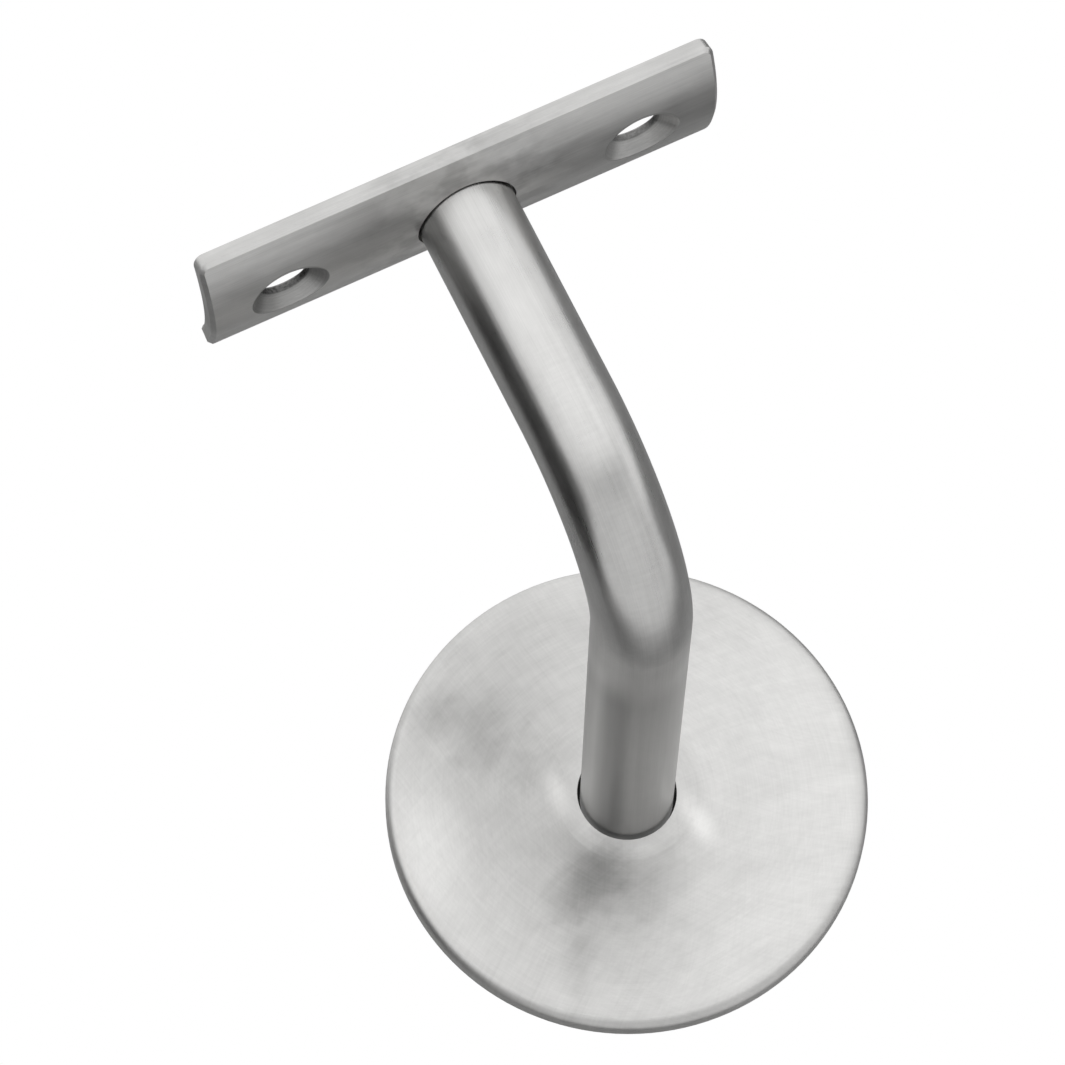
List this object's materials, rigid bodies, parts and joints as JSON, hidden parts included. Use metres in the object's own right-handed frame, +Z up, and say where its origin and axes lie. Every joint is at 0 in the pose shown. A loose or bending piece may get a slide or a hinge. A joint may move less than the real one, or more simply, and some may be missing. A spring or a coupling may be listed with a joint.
{
  "type": "handrail bracket",
  "caption": "Wall bracket for a round handrail: a bent round bar with a curved screw-on saddle and a loose round cover plate at the wall.",
  "frame": {"origin": "centre of the bar's wall end, on the plane of the wall", "axes": "+Z up, -Y straight out of the wall, X along the handrail"},
  "size_m": [0.065, 0.101, 0.0826],
  "materials": {
    "bar": "satin, brushed along the bar",
    "cover": "satin, turned and lightly swirled",
    "saddle": "satin, brushed along the strip",
    "weld": "ground flush"
  },
  "bodies": {
    "root": {"bent_rod": "bar", "cover_rosette": "cover", "saddle": "saddle", "saddle_weld": "weld"}
  },
  "joints": []
}
